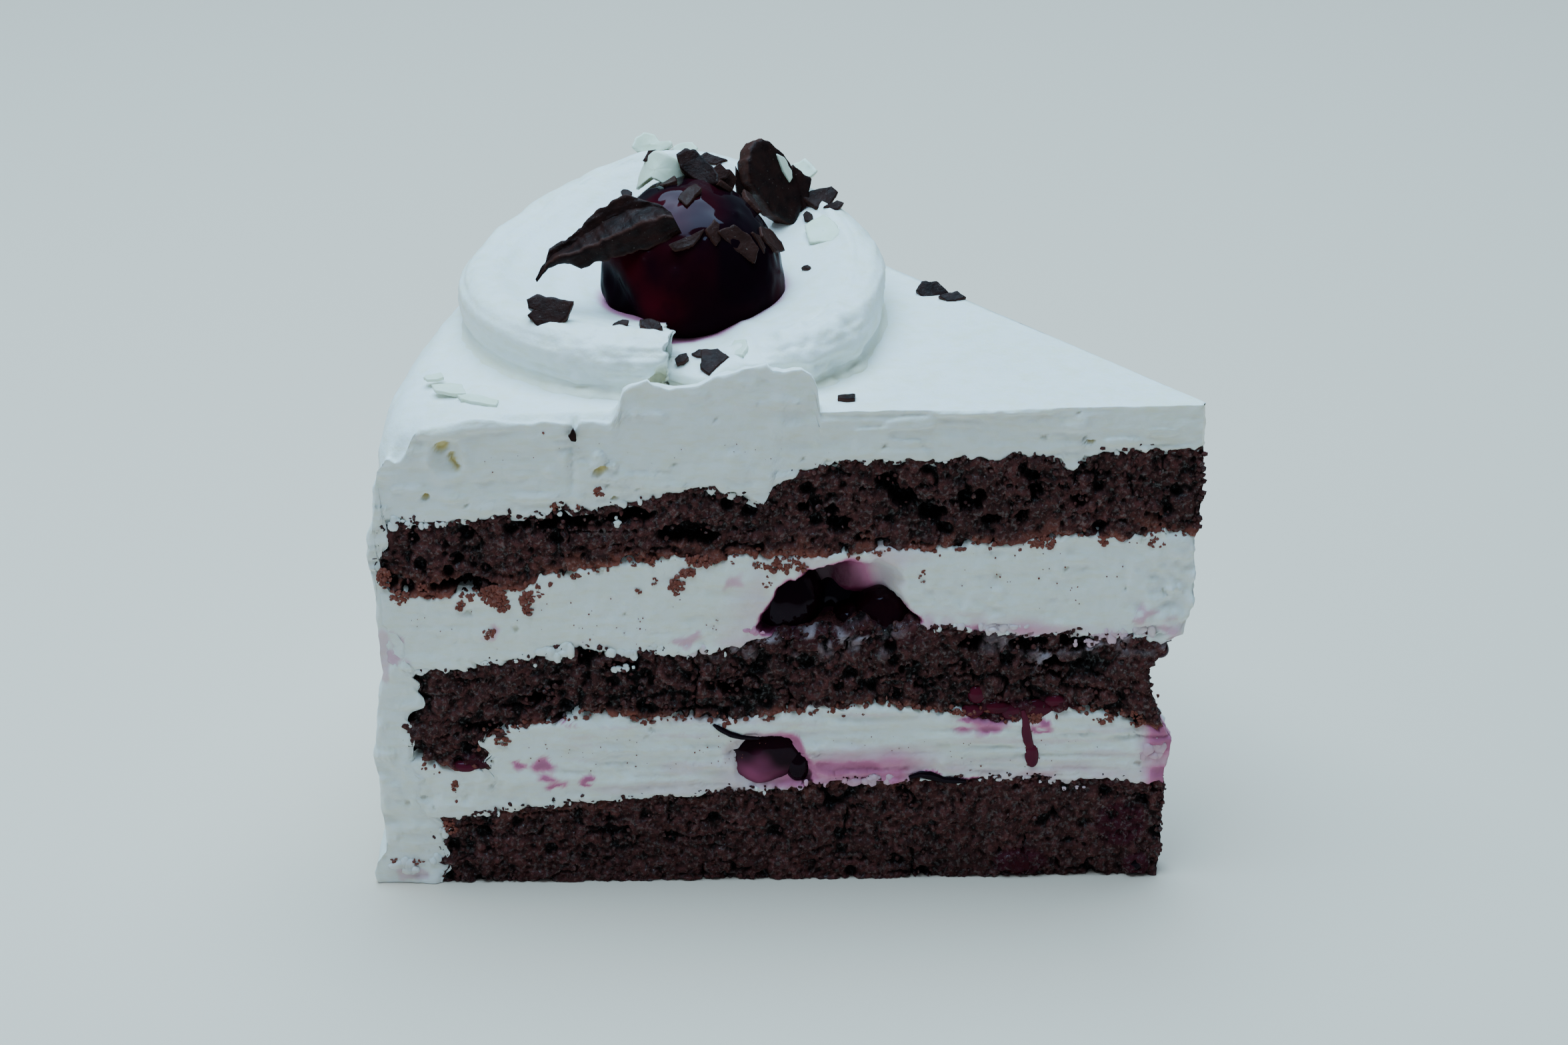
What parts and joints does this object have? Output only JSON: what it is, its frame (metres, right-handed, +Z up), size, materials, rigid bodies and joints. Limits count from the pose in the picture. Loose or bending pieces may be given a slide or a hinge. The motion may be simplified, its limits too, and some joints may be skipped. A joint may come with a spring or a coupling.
{
  "type": "cake slice",
  "caption": "Tall wedge of layered chocolate cake with cream and cherry fillings, topped by a piped cream ring, a glazed cherry and chocolate shavings.",
  "frame": {"origin": "middle of the footprint, on the surface the slice stands on", "axes": "+X from the frosted side to the tip along the first cut face, +Y from that face into the slice, +Z up"},
  "size_m": [0.1216, 0.0974, 0.1047],
  "materials": {
    "sponge": "matte open crumb",
    "cream": "soft satin",
    "cherry": "wet gloss",
    "dark_chocolate": "satin",
    "white_chocolate": "satin"
  },
  "bodies": {
    "root": {"sponge_bottom": "sponge", "sponge_middle": "sponge", "sponge_top": "sponge", "filling_lower": "cream", "filling_upper": "cream", "cream_coat": "cream", "cream_ring": "cream", "cherry_lower": "cherry", "cherry_upper": "cherry", "cherry_top": "cherry", "shaving_long": "dark_chocolate", "shaving_slab": "dark_chocolate", "shaving_top": "dark_chocolate", "shaving_white": "white_chocolate"}
  },
  "joints": []
}
